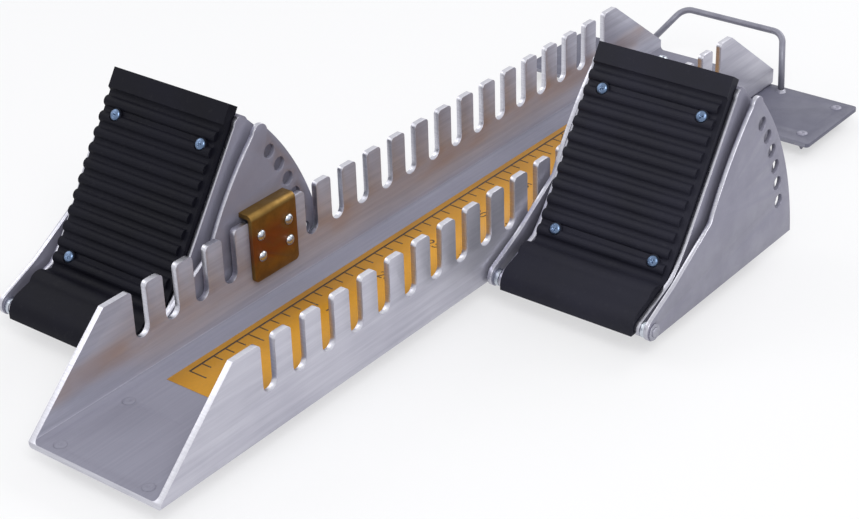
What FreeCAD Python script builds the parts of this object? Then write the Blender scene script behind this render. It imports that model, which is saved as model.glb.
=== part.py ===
"""Starting blocks: a slotted rail with a scale tape, an anchor plate with a carrying handle,
and two pedals that hook into the rail's slots and tilt on a toe axle. Millimetres.

X runs across the rail, +Y along it towards the anchor plate, +Z up. The origin is the centre
of the rail's underside. A pedal is drawn on the +X side and mirrored for the left one."""
import FreeCAD
import Part
import math
import os

V = FreeCAD.Vector

# Rail: a channel of bent sheet with saw-like slots in both flanges
RAIL_LENGTH = 650.0
RAIL_WIDTH = 102.0
RAIL_HEIGHT = 61.0
RAIL_WALL = 4.0
RAIL_BEND = 2.5
RAIL_INNER_BEND = 3.0
FRONT_SLOPE = 62.0
TAIL_SLOPE = 65.0
TAIL_HEIGHT = 12.0
SLOT_PITCH = 25.0
SLOT_COUNT = 20
SLOT_WIDTH = 11.5
SLOT_DEPTH = 33.0
FIRST_SLOT = 89.5
TOOTH_ROUND = 3.0
FRONT = -RAIL_LENGTH / 2
REAR = RAIL_LENGTH / 2

# Scale tape on the channel's floor
TAPE_WIDTH = 64.0
TAPE_START = 90.0
TAPE_LENGTH = 470.0
TAPE_THICK = 0.3

# Spikes that hold the rail to the track
FRONT_SPIKES = ((34.0, 8.0), (34.0, 61.0))
SPIKE_R = 3.0
SPIKE_HEAD_R = 4.0
SPIKE_HEAD_H = 0.8
SPIKE_TIP_R = 0.6
FRONT_SPIKE_DEPTH = 8.0
REAR_SPIKE_DEPTH = 12.5
SPIKE_CONE = 6.0

# Anchor plate under the rail's tail, its bolts and its spikes
PLATE_WIDTH = 242.0
PLATE_DEPTH = 75.0
PLATE_THICK = 3.0
PLATE_CORNER = 3.0
REAR_SPIKES = ((109.0, 589.0), (109.0, 640.0))
PLATE_BOLTS = ((36.0, 592.0), (36.0, 634.0))
BOLT_R = 2.5
BOLT_HEAD_R = 4.5
BOLT_HEAD_H = 2.6
BOLT_DOME = 1.4
BOLT_PAST_NUT = 0.5
BOLT_NUT_H = 3.0
BOLT_NUT_FLATS = 8.0

# Carrying handle: bent rod welded to the plate, leaning back
HANDLE_R = 2.4
HANDLE_FOOT = V(62.0, 643.0, 0.0)
HANDLE_CORNER = V(43.0, 676.0, 30.0)
HANDLE_BEND = 12.0
HANDLE_SPARE = 6.0

# Pedal frame: two cheeks, a base plate and a toe axle
HOOK_FROM_AXLE = 109.0
LEFT_HOOK_SLOT = 4
RIGHT_HOOK_SLOT = 12
AXLE_Z = 6.0
AXLE_R = 3.0
AXLE_RUN = 0.06
AXLE_CHAMFER = 0.5
AXLE_PAST_RAIL_CHEEK = 1.8
AXLE_PAST_FAR_CHEEK = 2.0
AXLE_RING_R = 5.4
AXLE_CLIP_THICK = 1.0
AXLE_WASHER_GAP = 0.4
CHEEK_THICK = 3.0
FRAME_IN = 54.0
FRAME_OUT = 171.0
CHEEK_TOE_FOOT = (1.0, 0.0)
CHEEK_TOE_FRONT = (-7.0, 7.0)
CHEEK_TOE_TOP = (-2.5, 14.0)
CHEEK_LOW = (24.0, 26.5)
CHEEK_MID = (63.0, 50.5)
CHEEK_HIGH = (83.0, 82.5)
CHEEK_FRONT_TOP = (107.5, 110.5)
CHEEK_CROWN = (113.0, 115.2)
CHEEK_BACK_TOP = (119.5, 110.0)
CHEEK_BACK_MID = (152.9, 55.5)
CHEEK_BACK_FOOT = (165.8, 0.0)
BASE_FROM = 40.0
BASE_TO = 150.0
BASE_THICK = 2.0

# Lock holes in the cheeks, on an arc about the toe axle
LOCK_ARC_R = 149.0
LOCK_FIRST_DEG = 9.0
LOCK_STEP_DEG = 5.5
LOCK_HOLES = 6
LOCK_HOLE_R = 4.7

# Foot plate: face, cheeks and the rolled toe tube
FOOT_IN = 61.0
FOOT_OUT = 164.0
FOOT_SHEET = 2.5
TOE_TUBE_R = 4.6
FOOT_TOE_R = 5.2
FACE_SHORT = 4.0
FOOT_LOW = (31.0, 23.0)
FOOT_BEND = (41.8, 34.6)
FOOT_MID = (51.6, 48.0)
FOOT_FRONT_TOP = (99.0, 117.0)
FOOT_CROWN = (104.5, 122.0)
FOOT_BACK_R = 157.0
FOOT_BACK_TOP_DEG = 45.5
FOOT_BACK_FOOT_DEG = 1.5

# Rubber pad on the face
PAD_WIDTH = 96.0
PAD_BOTTOM = (27.5, 22.4)
PAD_TOP = (100.0, 131.0)
PAD_THICK = 8.0
PAD_EDGE_STRIP = 3.5
RIB_COUNT = 11
RIB_PITCH = 10.2
RIB_CREST = 7.0
RIB_HEIGHT = 2.6
RIB_START = 4.0
BAND_SLOPE = 1.5
PAD_TOE_NOSE = (-8.0, 6.5)
PAD_TOE_ROLL = (-5.3, 12.8)
PAD_TOE_SHOULDER = (1.5, 17.0)
PAD_TOE_GROOVE = (11.0, 20.0)
PAD_TOE_RIB = (18.0, 24.6)
PAD_TOE_RIB_END = (24.5, 22.0)
PAD_LIP_Z = 2.8
PAD_SCREW_SPREAD = 35.7
PAD_SCREW_ALONG = (10.5, 102.5)
SCREW_R = 2.0
SCREW_HEAD_R = 3.8
SCREW_HEAD_H = 2.2
SCREW_DOME = 1.2
SCREW_SEAT = 1.0
SCREW_SEAT_RIM = 0.6
SCREW_PAST_FACE = 2.0
SCREW_PAST_NUT = 2.5
SCREW_NUT_FLATS = 7.0
SCREW_NUT_H = 2.8

# Lock pins with grips, their sleeves and the spring between them
PIN_R = 4.0
PIN_TIP_GAP = 0.3
PIN_CHAMFER = 1.0
SLEEVE_R = 6.5
SLEEVE_LENGTH = 23.0
SLEEVE_RUN = 0.08
GRIP_R = 9.0
GRIP_THICK = 6.0
GRIP_ROUND = 1.2
GRIP_SPACE = 27.0
SPRING_R = 3.6
SPRING_WIRE_R = 0.7
SPRING_TURNS = 7

# Hook bracket over the flange, the lugs in the slots and their rivets
TAB_THICK = 3.0
TAB_GAP = 0.3
TAB_WIDTH = 40.0
TAB_BOTTOM = 20.0
WEB_TOP = 66.0
TAB_BEND = 4.0
TAB_INNER_BEND = 1.0
TAB_CORNER = 3.0
LUG_WIDTH = 10.8
LUG_LIFT = 0.4
LUG_TOP = 57.0
RIVET_Z = (36.0, 50.5)
RIVET_R = 2.0
RIVET_HEAD_R = 3.6
RIVET_HEAD_H = 1.8


def box(x0, x1, y0, y1, z0, z1):
    """A box between two corners, given axis by axis in any order."""
    low = V(min(x0, x1), min(y0, y1), min(z0, z1))
    return Part.makeBox(abs(x1 - x0), abs(y1 - y0), abs(z1 - z0), low)


def rod(radius, start, end):
    """A round rod between two points."""
    run = end - start
    return Part.makeCylinder(radius, run.Length, start, run)


def fuse(shapes):
    """One clean solid from several that touch or overlap."""
    joined = shapes[0]
    for shape in shapes[1:]:
        joined = joined.fuse(shape)
    return joined.removeSplitter()


def plate_x(outline, x0, x1):
    """Extrudes an outline of edges in the YZ plane from x0 to x1."""
    face = Part.Face(Part.Wire(outline))
    solid = face.extrude(V(x1 - x0, 0, 0))
    solid.translate(V(x0, 0, 0))
    return solid


class Outline:
    """Collects lines and arcs in the YZ plane; points are (y, z)."""

    def __init__(self, start):
        self.first = V(0, *start)
        self.here = self.first
        self.edges = []

    def line(self, *points):
        for point in points:
            there = V(0, *point)
            self.edges.append(Part.LineSegment(self.here, there).toShape())
            self.here = there
        return self

    def arc(self, middle, end):
        there = V(0, *end)
        self.edges.append(Part.Arc(self.here, V(0, *middle), there).toShape())
        self.here = there
        return self

    def close(self):
        self.edges.append(Part.LineSegment(self.here, self.first).toShape())
        return self.edges


def polar(centre, radius, degrees):
    """A (y, z) point on a circle."""
    turn = math.radians(degrees)
    return (centre[0] + radius * math.cos(turn), centre[1] + radius * math.sin(turn))


def tangent_point(centre, radius, point, side):
    """Where the line from a point touches a circle; side +1 is the upper touch, -1 the lower."""
    away_y = point[0] - centre[0]
    away_z = point[1] - centre[1]
    heading = math.degrees(math.atan2(away_z, away_y))
    opening = math.degrees(math.acos(radius / math.hypot(away_y, away_z)))
    return polar(centre, radius, heading + side * opening)


def slot_y(index):
    """Centre of a slot, counted from the front."""
    return FRONT + FIRST_SLOT + index * SLOT_PITCH


# Rail and what is fixed to it

def rail_outline():
    """Side view of the channel: sloped nose, slotted teeth, sloped tail."""
    top = RAIL_HEIGHT
    floor = top - SLOT_DEPTH
    half = SLOT_WIDTH / 2
    dip = TOOTH_ROUND * (1 - math.sqrt(0.5))
    side = Outline((FRONT, 0)).line((FRONT, RAIL_WALL), (FRONT + FRONT_SLOPE, top))
    for index in range(SLOT_COUNT):
        y = slot_y(index)
        side.line((y - half - TOOTH_ROUND, top))
        side.arc((y - half - dip, top - dip), (y - half, top - TOOTH_ROUND))
        side.line((y - half, floor + half))
        side.arc((y, floor), (y + half, floor + half))
        side.line((y + half, top - TOOTH_ROUND))
        side.arc((y + half + dip, top - dip), (y + half + TOOTH_ROUND, top))
    side.line((REAR - TAIL_SLOPE, top), (REAR, TAIL_HEIGHT), (REAR, 0))
    return side.close()


def rail_channel():
    half = RAIL_WIDTH / 2
    outer = box(-half, half, FRONT, REAR, 0, RAIL_HEIGHT)
    bends = [e for e in outer.Edges if e.BoundBox.YLength > 1 and e.BoundBox.ZMax < 1]
    outer = outer.makeFillet(RAIL_BEND, bends)
    inside = half - RAIL_WALL
    hollow = box(-inside, inside, FRONT - 1, REAR + 1, RAIL_WALL, RAIL_HEIGHT + 1)
    corners = [e for e in hollow.Edges if e.BoundBox.YLength > 1 and e.BoundBox.ZMax < RAIL_WALL + 1]
    hollow = hollow.makeFillet(RAIL_INNER_BEND, corners)
    channel = outer.cut(hollow).common(plate_x(rail_outline(), -half - 1, half + 1))
    for x, y in mirrored_pairs(FRONT_SPIKES):
        channel = channel.cut(Part.makeCylinder(SPIKE_R, RAIL_WALL + 2, V(x, y, -1)))
    for x, y in mirrored_pairs(PLATE_BOLTS):
        channel = channel.cut(Part.makeCylinder(BOLT_R, RAIL_WALL + 2, V(x, y, -1)))
    return channel


def mirrored_pairs(places):
    """Places given as (x, distance from the rail's front) on both sides, as (x, y)."""
    return [(side * x, FRONT + y) for x, y in places for side in (-1, 1)]


def spike(x, y, seat, depth):
    """A headed spike: flat head on the seat, shank through the sheet, cone tip below."""
    head = Part.makeCone(SPIKE_HEAD_R, SPIKE_R, SPIKE_HEAD_H, V(x, y, seat))
    shank = Part.makeCylinder(SPIKE_R, seat + depth - SPIKE_CONE, V(x, y, SPIKE_CONE - depth))
    tip = Part.makeCone(SPIKE_TIP_R, SPIKE_R, SPIKE_CONE, V(x, y, -depth))
    return fuse([head, shank, tip])


def spikes(places, seat, depth):
    return [spike(x, y, seat, depth) for x, y in mirrored_pairs(places)]


def anchor_plate():
    half = PLATE_WIDTH / 2
    plate = box(-half, half, REAR - PLATE_DEPTH, REAR, -PLATE_THICK, 0)
    corners = [e for e in plate.Edges if e.BoundBox.ZLength > 1]
    plate = plate.makeFillet(PLATE_CORNER, corners)
    for x, y in mirrored_pairs(REAR_SPIKES):
        plate = plate.cut(Part.makeCylinder(SPIKE_R, 10, V(x, y, -6)))
    for x, y in mirrored_pairs(PLATE_BOLTS):
        plate = plate.cut(Part.makeCylinder(BOLT_R, 10, V(x, y, -6)))
    return plate


def hex_nut(centre, axis, flats, height, bore):
    """A hexagonal nut from its base centre along an axis."""
    corner_r = flats / math.sqrt(3)
    turns = [math.radians(60 * i) for i in range(7)]
    ring = Part.makePolygon([V(corner_r * math.cos(t), corner_r * math.sin(t), 0) for t in turns])
    nut = Part.Face(ring).extrude(V(0, 0, height))
    nut = nut.cut(Part.makeCylinder(bore, height + 2, V(0, 0, -1)))
    turn = FreeCAD.Rotation(V(0, 0, 1), axis)
    nut.Placement = FreeCAD.Placement(centre, turn)
    return nut


def plate_bolt(x, y):
    head = Part.makeCylinder(BOLT_HEAD_R, BOLT_HEAD_H, V(x, y, RAIL_WALL))
    rim = [e for e in head.Edges if e.BoundBox.ZMin > RAIL_WALL + 1 and len(e.Vertexes) == 1]
    head = head.makeFillet(BOLT_DOME, rim)
    length = RAIL_WALL + PLATE_THICK + BOLT_NUT_H + BOLT_PAST_NUT
    shank = Part.makeCylinder(BOLT_R, length, V(x, y, RAIL_WALL - length))
    return fuse([head, shank])


def carry_handle():
    """A round rod bent to a trapezoid, cut off level with the plate."""
    foot = V(HANDLE_FOOT.x, FRONT + HANDLE_FOOT.y, HANDLE_FOOT.z)
    corner = V(HANDLE_CORNER.x, FRONT + HANDLE_CORNER.y, HANDLE_CORNER.z)
    leg = foot - corner
    leg.normalize()
    bar = V(-1, 0, 0)
    half_turn = leg.getAngle(bar) / 2
    reach = HANDLE_BEND / math.tan(half_turn)
    on_leg = corner + leg * reach
    on_bar = corner + bar * reach
    inward = leg + bar
    inward.normalize()
    middle = corner + inward * (HANDLE_BEND / math.sin(half_turn) - HANDLE_BEND)
    below = foot + leg * HANDLE_SPARE

    def flip(p):
        return V(-p.x, p.y, p.z)

    path = Part.Wire([
        Part.LineSegment(below, on_leg).toShape(),
        Part.Arc(on_leg, middle, on_bar).toShape(),
        Part.LineSegment(on_bar, flip(on_bar)).toShape(),
        Part.Arc(flip(on_bar), flip(middle), flip(on_leg)).toShape(),
        Part.LineSegment(flip(on_leg), flip(below)).toShape(),
    ])
    section = Part.Wire(Part.makeCircle(HANDLE_R, below, leg * -1))
    handle = path.makePipeShell([section], True, False)
    return handle.cut(box(-90, 90, REAR - 60, REAR + 60, -20, 0))


# Pedal, drawn on the +X side with its axle at y = 0

AXLE = (0.0, AXLE_Z)


def lock_points():
    turns = [LOCK_FIRST_DEG + LOCK_STEP_DEG * i for i in range(LOCK_HOLES)]
    return [polar(AXLE, LOCK_ARC_R, turn) for turn in turns]


def frame_cheek(x0, x1):
    """Outer cheek: cranked front edge, crowned top, curved back, flat bottom, six lock holes."""
    side = Outline(CHEEK_TOE_TOP).line(CHEEK_LOW, CHEEK_MID).arc(CHEEK_HIGH, CHEEK_FRONT_TOP)
    side.arc(CHEEK_CROWN, CHEEK_BACK_TOP).arc(CHEEK_BACK_MID, CHEEK_BACK_FOOT)
    side.line(CHEEK_TOE_FOOT).arc(CHEEK_TOE_FRONT, CHEEK_TOE_TOP)
    cheek = plate_x(side.edges, x0, x1)
    cheek = cheek.cut(rod(AXLE_R, V(x0 - 1, 0, AXLE_Z), V(x1 + 1, 0, AXLE_Z)))
    for y, z in lock_points():
        cheek = cheek.cut(rod(LOCK_HOLE_R, V(x0 - 1, y, z), V(x1 + 1, y, z)))
    return cheek


def rivet_places():
    """(y, z) of the four rivets, two through each lug."""
    return [(HOOK_FROM_AXLE + side * SLOT_PITCH / 2, z) for side in (-1, 1) for z in RIVET_Z]


def drill_rivets(shape, x0, x1):
    for y, z in rivet_places():
        shape = shape.cut(rod(RIVET_R, V(x0 - 1, y, z), V(x1 + 1, y, z)))
    return shape


def tab_faces():
    """x of the bracket's inner tab: its far face and the face next to the flange."""
    near = RAIL_WIDTH / 2 - RAIL_WALL - TAB_GAP
    return near - TAB_THICK, near


def hook_bracket():
    """Bent strip: a tab down inside the flange and a web over it to the cheek."""
    far, near = tab_faces()
    half = TAB_WIDTH / 2
    block = box(far, FRAME_IN, HOOK_FROM_AXLE - half, HOOK_FROM_AXLE + half, TAB_BOTTOM, WEB_TOP)
    bend = [
        e for e in block.Edges
        if e.BoundBox.YLength > 1 and e.BoundBox.ZMin > WEB_TOP - 1 and e.BoundBox.XMax < far + 1
    ]
    block = block.makeFillet(TAB_BEND, bend)
    under = box(near, FRAME_IN + 1, -500, 500, TAB_BOTTOM - 1, WEB_TOP - TAB_THICK)
    inner = [e for e in under.Edges if e.BoundBox.YLength > 1 and e.BoundBox.ZMin > WEB_TOP - 4]
    inner = [e for e in inner if e.BoundBox.XMax < near + 1]
    bracket = block.cut(under.makeFillet(TAB_INNER_BEND, inner))
    corners = [e for e in bracket.Edges if e.BoundBox.XLength > 2 and e.BoundBox.ZMax < TAB_BOTTOM + 1]
    bracket = bracket.makeFillet(TAB_CORNER, corners)
    return drill_rivets(bracket, far, near)


def hook_lug(side):
    """A block with a round foot that sits in one slot."""
    near = tab_faces()[1]
    y = HOOK_FROM_AXLE + side * SLOT_PITCH / 2
    half = LUG_WIDTH / 2
    low = RAIL_HEIGHT - SLOT_DEPTH + LUG_LIFT
    edge = Outline((y - half, LUG_TOP)).line((y - half, low + half))
    edge.arc((y, low), (y + half, low + half)).line((y + half, LUG_TOP))
    return drill_rivets(plate_x(edge.close(), near, FRAME_IN), near, FRAME_IN)


def hook_rivet(y, z):
    far = tab_faces()[0]
    inner = FRAME_IN + CHEEK_THICK
    shank = rod(RIVET_R, V(far, y, z), V(inner, y, z))
    head = Part.makeCone(RIVET_HEAD_R, RIVET_R, RIVET_HEAD_H, V(far, y, z), V(-1, 0, 0))
    tail = Part.makeCone(RIVET_HEAD_R, RIVET_R, RIVET_HEAD_H, V(inner, y, z), V(1, 0, 0))
    return fuse([shank, head, tail])


def frame_base():
    return box(FRAME_IN + CHEEK_THICK, FRAME_OUT - CHEEK_THICK, BASE_FROM, BASE_TO, 0, BASE_THICK)


def toe_axle():
    start = V(FRAME_IN - AXLE_PAST_RAIL_CHEEK, 0, AXLE_Z)
    end = V(FRAME_OUT + AXLE_PAST_FAR_CHEEK, 0, AXLE_Z)
    axle = rod(AXLE_R, start, end)
    rims = [e for e in axle.Edges if len(e.Vertexes) == 1]
    return axle.makeChamfer(AXLE_CHAMFER, rims)


def ring(x0, x1):
    """A washer or clip round the toe axle."""
    ends = V(x0, 0, AXLE_Z), V(x1, 0, AXLE_Z)
    bore = rod(AXLE_R, ends[0] - V(1, 0, 0), ends[1] + V(1, 0, 0))
    return rod(AXLE_RING_R, *ends).cut(bore)


def axle_clips():
    return [ring(FRAME_IN - AXLE_CLIP_THICK, FRAME_IN), ring(FRAME_OUT, FRAME_OUT + AXLE_CLIP_THICK)]


def axle_washers():
    inner = FRAME_IN + CHEEK_THICK
    outer = FRAME_OUT - CHEEK_THICK
    return [ring(inner, FOOT_IN - AXLE_WASHER_GAP), ring(FOOT_OUT + AXLE_WASHER_GAP, outer)]


def face_lines():
    """The face sheet's front points from toe to top: where it leaves the tube, the knee, the top."""
    run_y = PAD_TOP[0] - PAD_BOTTOM[0]
    run_z = PAD_TOP[1] - PAD_BOTTOM[1]
    length = math.hypot(run_y, run_z)
    along = (run_y / length, run_z / length)
    outward = (-along[1], along[0])
    knee = (PAD_BOTTOM[0] - outward[0] * PAD_THICK, PAD_BOTTOM[1] - outward[1] * PAD_THICK)
    back_top = (PAD_TOP[0] - outward[0] * PAD_THICK, PAD_TOP[1] - outward[1] * PAD_THICK)
    leave = tangent_point(AXLE, TOE_TUBE_R, knee, 1)
    return leave, knee, back_top, along, outward


def foot_cheek(x0, x1):
    """Inner cheek: it rises beside the pad but stays behind the pad's front."""
    toe_up = tangent_point(AXLE, FOOT_TOE_R, FOOT_LOW, 1)
    back_top = polar(AXLE, FOOT_BACK_R, FOOT_BACK_TOP_DEG)
    back_mid = polar(AXLE, FOOT_BACK_R, FOOT_BACK_TOP_DEG / 2)
    back_foot = polar(AXLE, FOOT_BACK_R, FOOT_BACK_FOOT_DEG)
    toe_down = tangent_point(AXLE, FOOT_TOE_R, back_foot, -1)
    side = Outline(toe_up).line(FOOT_LOW).arc(FOOT_BEND, FOOT_MID).line(FOOT_FRONT_TOP)
    side.arc(FOOT_CROWN, back_top).arc(back_mid, back_foot).line(toe_down)
    side.arc(polar(AXLE, FOOT_TOE_R, 200), toe_up)
    return plate_x(side.edges, x0, x1)


def foot_plate():
    """One sheet: the face behind the pad, a rolled toe tube and a cheek at each side."""
    leave, knee, top, along, outward = face_lines()
    low_run = math.atan2(knee[1] - leave[1], knee[0] - leave[0])
    up_run = math.atan2(along[1], along[0])
    half_knee = (low_run + up_run) / 2
    miter = FOOT_SHEET / math.cos((up_run - low_run) / 2)
    back_knee = (knee[0] + miter * math.sin(half_knee), knee[1] - miter * math.cos(half_knee))
    back_leave = (leave[0] + FOOT_SHEET * math.sin(low_run), leave[1] - FOOT_SHEET * math.cos(low_run))
    stop = (top[0] - along[0] * FACE_SHORT, top[1] - along[1] * FACE_SHORT)
    back_stop = (stop[0] - outward[0] * FOOT_SHEET, stop[1] - outward[1] * FOOT_SHEET)
    face = Outline(leave).line(knee, stop, back_stop, back_knee, back_leave)
    sheet = plate_x(face.close(), FOOT_IN, FOOT_OUT)
    tube = rod(TOE_TUBE_R, V(FOOT_IN, 0, AXLE_Z), V(FOOT_OUT, 0, AXLE_Z))
    cheeks = [foot_cheek(FOOT_IN, FOOT_IN + CHEEK_THICK), foot_cheek(FOOT_OUT - CHEEK_THICK, FOOT_OUT)]
    plate = fuse([sheet, tube] + cheeks)
    bore = AXLE_R + AXLE_RUN
    plate = plate.cut(rod(bore, V(FOOT_IN - 1, 0, AXLE_Z), V(FOOT_OUT + 1, 0, AXLE_Z)))
    y, z = lock_points()[0]
    plate = plate.cut(rod(SLEEVE_R, V(FOOT_IN - 1, y, z), V(FOOT_OUT + 1, y, z)))
    for start, end in screw_lines():
        plate = plate.cut(rod(SCREW_R, start, end))
    return plate


def screw_lines():
    """Start and end of each pad screw's shank, from its seat in the pad to behind the face."""
    along, outward = face_lines()[3:]
    centre = (FOOT_IN + FOOT_OUT) / 2
    lines = []
    for run in PAD_SCREW_ALONG:
        y = PAD_BOTTOM[0] + along[0] * run
        z = PAD_BOTTOM[1] + along[1] * run
        out = V(0, outward[0], outward[1])
        for side in (-1, 1):
            front = V(centre + side * PAD_SCREW_SPREAD, y, z) - out * SCREW_SEAT
            lines.append((front, front - out * (PAD_THICK + FOOT_SHEET + SCREW_PAST_FACE)))
    return lines


def pad_outline(ribbed):
    """Side view of the rubber: toe roll, ribbed or plain front, square top, flat back."""
    leave, knee, top, along, outward = face_lines()

    def on_front(run, height):
        return (
            PAD_BOTTOM[0] + along[0] * run + outward[0] * height,
            PAD_BOTTOM[1] + along[1] * run + outward[1] * height,
        )

    length = math.hypot(PAD_TOP[0] - PAD_BOTTOM[0], PAD_TOP[1] - PAD_BOTTOM[1])
    lip_y = -math.sqrt(TOE_TUBE_R ** 2 - (AXLE_Z - PAD_LIP_Z) ** 2)
    edge = Outline((PAD_TOE_NOSE[0], PAD_LIP_Z)).line(PAD_TOE_NOSE).arc(PAD_TOE_ROLL, PAD_TOE_SHOULDER)
    edge.line(PAD_TOE_GROOVE).arc(PAD_TOE_RIB, PAD_TOE_RIB_END).line(on_front(0, -RIB_HEIGHT))
    for rib in range(RIB_COUNT if ribbed else 0):
        start = RIB_START + rib * RIB_PITCH
        edge.line(on_front(start, -RIB_HEIGHT))
        edge.arc(on_front(start + RIB_CREST / 2, 0), on_front(start + RIB_CREST, -RIB_HEIGHT))
    band = RIB_START + RIB_COUNT * RIB_PITCH
    edge.line(on_front(band, -RIB_HEIGHT), on_front(band + BAND_SLOPE, 0), on_front(length, 0))
    edge.line(top, knee, leave)
    edge.arc(polar(AXLE, TOE_TUBE_R, 160), (lip_y, PAD_LIP_Z))
    return edge.close()


def rubber_pad():
    middle = (FOOT_IN + FOOT_OUT) / 2
    left = middle - PAD_WIDTH / 2
    right = middle + PAD_WIDTH / 2
    ribbed = plate_x(pad_outline(True), left, right - PAD_EDGE_STRIP)
    plain = plate_x(pad_outline(False), right - PAD_EDGE_STRIP, right)
    pad = fuse([ribbed, plain])
    for start, end in screw_lines():
        out = start - end
        out.normalize()
        well_r = SCREW_HEAD_R + SCREW_SEAT_RIM
        pad = pad.fuse(rod(well_r, start, start - out * RIB_HEIGHT))
        pad = pad.cut(rod(well_r, start, start + out * PAD_THICK))
        pad = pad.cut(rod(SCREW_R, start, end))
    return pad.removeSplitter()


def pad_screw(start, end):
    out = start - end
    out.normalize()
    head = rod(SCREW_HEAD_R, start, start + out * SCREW_HEAD_H)
    rim = [e for e in head.Edges if len(e.Vertexes) == 1 and (e.CenterOfMass - start).Length > 1]
    head = head.makeFillet(SCREW_DOME, rim)
    return fuse([head, rod(SCREW_R, start, end - out * SCREW_PAST_NUT)])


def pad_nut(start, end):
    inward = end - start
    inward.normalize()
    seat = start + inward * (PAD_THICK - SCREW_SEAT + FOOT_SHEET)
    return hex_nut(seat, inward, SCREW_NUT_FLATS, SCREW_NUT_H, SCREW_R)


def lock_sleeves():
    """Short guides for the pins, fixed in the foot plate's cheeks."""
    y, z = lock_points()[0]
    sleeves = []
    for x0, x1 in ((FOOT_IN, FOOT_IN + SLEEVE_LENGTH), (FOOT_OUT - SLEEVE_LENGTH, FOOT_OUT)):
        tube = rod(SLEEVE_R, V(x0, y, z), V(x1, y, z))
        sleeves.append(tube.cut(rod(PIN_R + SLEEVE_RUN, V(x0 - 1, y, z), V(x1 + 1, y, z))))
    return sleeves


def lock_pin(tip_x, grip_x, outward):
    """A pin drawn in to just behind the outer cheek, with a round grip at its inner end."""
    y, z = lock_points()[0]
    shank = rod(PIN_R, V(grip_x, y, z), V(tip_x, y, z))
    tip = [
        e for e in shank.Edges
        if len(e.Vertexes) == 1 and abs(e.CenterOfMass.x - tip_x) < 0.01
    ]
    shank = shank.makeChamfer(PIN_CHAMFER, tip)
    grip = rod(GRIP_R, V(grip_x, y, z), V(grip_x + outward * GRIP_THICK, y, z))
    rims = [e for e in grip.Edges if len(e.Vertexes) == 1]
    return fuse([shank, grip.makeFillet(GRIP_ROUND, rims)])


def pin_places():
    """(tip x, grip x, outward sign) of the far pin and of the rail-side pin."""
    middle = (FOOT_IN + FOOT_OUT) / 2
    far = (FRAME_OUT - CHEEK_THICK - PIN_TIP_GAP, middle + GRIP_SPACE / 2, 1)
    rail = (FRAME_IN + CHEEK_THICK + PIN_TIP_GAP, middle - GRIP_SPACE / 2, -1)
    return far, rail


def lock_spring():
    """Coil between the two grips that pushes the pins out."""
    y, z = lock_points()[0]
    far, rail = pin_places()
    length = far[1] - rail[1] - 4 * SPRING_WIRE_R
    start = rail[1] + 2 * SPRING_WIRE_R
    helix = Part.makeHelix(length / SPRING_TURNS, length, SPRING_R)
    wire = Part.Wire(Part.makeCircle(SPRING_WIRE_R, V(SPRING_R, 0, 0), V(0, 1, 0)))
    coil = Part.Wire(helix).makePipeShell([wire], True, False)
    turn = FreeCAD.Rotation(V(0, 0, 1), V(1, 0, 0))
    coil.Placement = FreeCAD.Placement(V(start, y, z), turn)
    return coil


def pedal():
    """Every piece of one pedal by name, on the +X side, axle at y = 0."""
    frame_pieces = {
        "frame_cheek_rail": drill_rivets(
            frame_cheek(FRAME_IN, FRAME_IN + CHEEK_THICK), FRAME_IN, FRAME_IN + CHEEK_THICK),
        "frame_cheek_far": frame_cheek(FRAME_OUT - CHEEK_THICK, FRAME_OUT),
        "frame_base": frame_base(),
        "toe_axle": toe_axle(),
        "axle_clips": Part.Compound(axle_clips()),
        "axle_washers": Part.Compound(axle_washers()),
        "hook_bracket": hook_bracket(),
        "hook_lugs": Part.Compound([hook_lug(-1), hook_lug(1)]),
        "hook_rivets": Part.Compound([hook_rivet(y, z) for y, z in rivet_places()]),
    }
    far, rail = pin_places()
    foot_pieces = {
        "foot_plate": foot_plate(),
        "rubber_pad": rubber_pad(),
        "pad_screws": Part.Compound([pad_screw(a, b) for a, b in screw_lines()]),
        "pad_nuts": Part.Compound([pad_nut(a, b) for a, b in screw_lines()]),
        "lock_sleeves": Part.Compound(lock_sleeves()),
        "lock_pin_far": lock_pin(*far),
        "lock_pin_rail": lock_pin(*rail),
        "lock_spring": lock_spring(),
    }
    return {**frame_pieces, **foot_pieces}


def placed(shape, name, side, axle_y):
    """A pedal piece on its side of the rail. The pad isn't handed, so it is shifted, not mirrored."""
    moved = shape.copy()
    if side < 0 and name == "rubber_pad":
        moved.translate(V(-(FOOT_IN + FOOT_OUT), 0, 0))
    elif side < 0:
        moved = moved.mirror(V(0, 0, 0), V(1, 0, 0))
    moved.translate(V(0, axle_y, 0))
    return moved


def hook_axle_y(slot):
    """Axle place of a pedal whose lugs sit in this slot and the next."""
    return slot_y(slot) + SLOT_PITCH / 2 - HOOK_FROM_AXLE


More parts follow.
